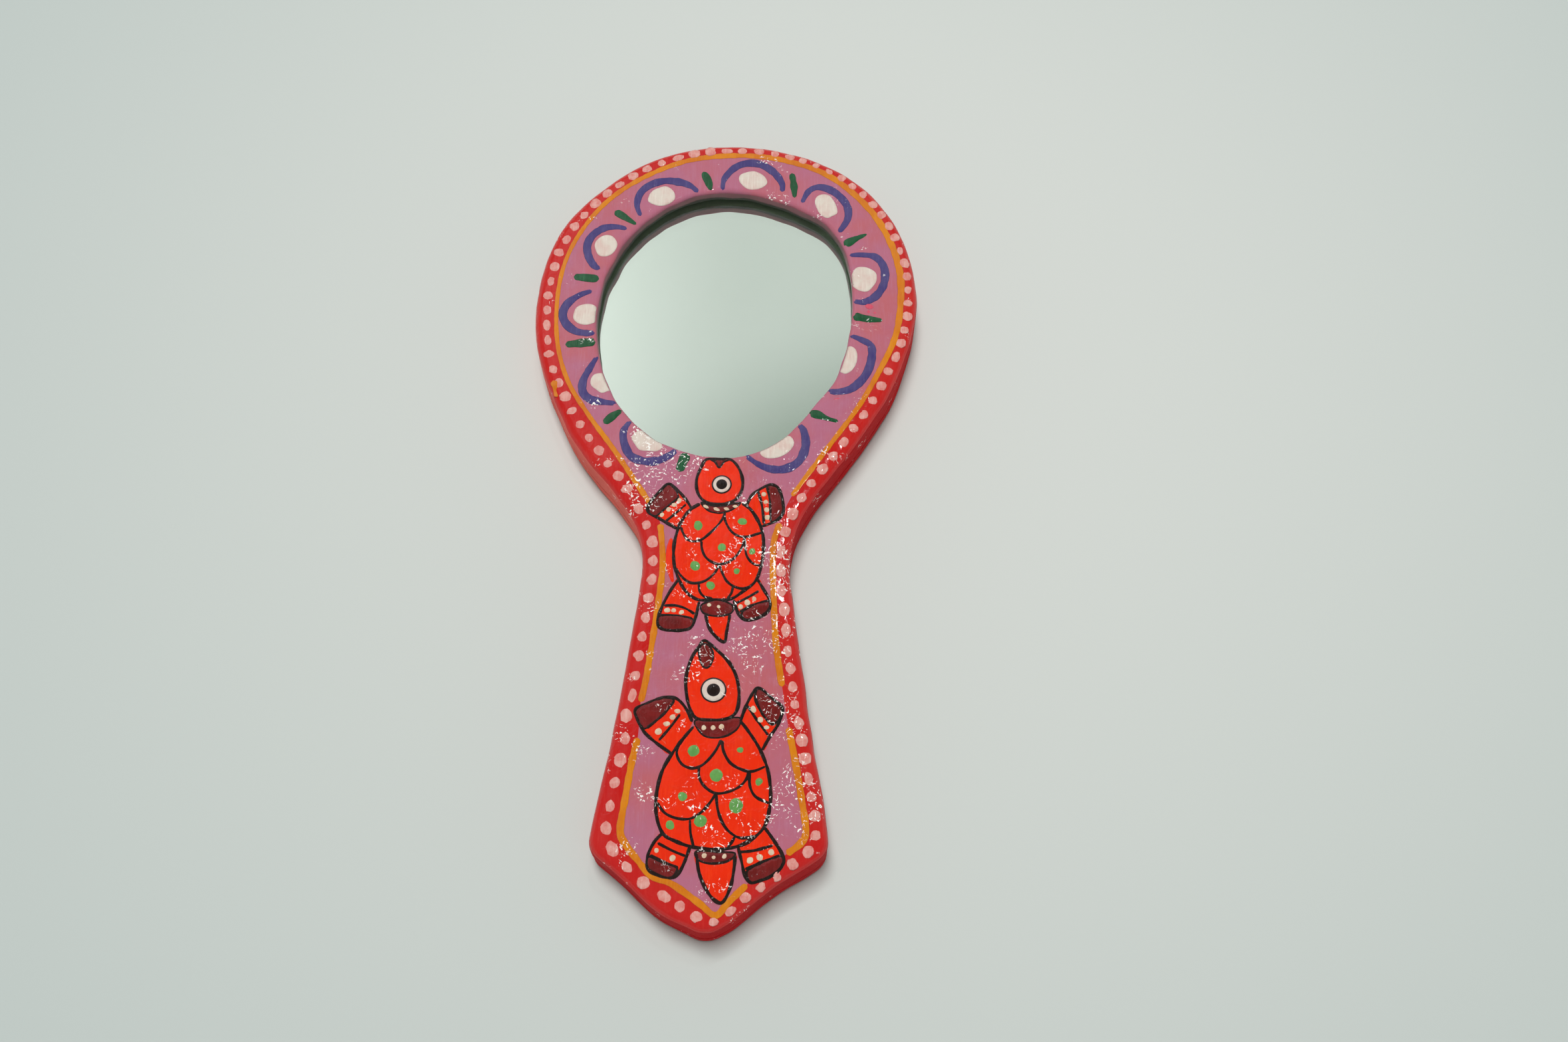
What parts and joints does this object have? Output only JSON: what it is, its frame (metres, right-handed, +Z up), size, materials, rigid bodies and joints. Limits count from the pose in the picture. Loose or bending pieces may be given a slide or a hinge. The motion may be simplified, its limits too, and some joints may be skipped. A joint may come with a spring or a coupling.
{
  "type": "hand mirror",
  "caption": "Paddle-shaped wooden hand mirror with a round head, a handle that flares to a pointed foot, and an oval glass set behind the front board.",
  "frame": {"origin": "on the surface under the mirror as it lies on its back, at the middle of its length and width", "axes": "+X across the mirror, +Y along it towards the head, +Z up through its thickness, out of the glass"},
  "size_m": [0.116, 0.246, 0.0152],
  "materials": {
    "painted_wood": "gloss varnish over paint",
    "painted_wood_back": "gloss varnish over red paint",
    "wood_glue": "dried white glue",
    "mirror_glass": "clear float glass",
    "silver": "bright film",
    "backing_paint": "dull paint",
    "card": "grey-brown board"
  },
  "bodies": {
    "root": {"front_board": "painted_wood", "back_board": "painted_wood_back", "glue_film": "wood_glue", "mirror_glass": "mirror_glass", "silver_film": "silver", "silver_paint": "backing_paint", "packing_card": "card", "glue_dabs": "wood_glue"}
  },
  "joints": []
}
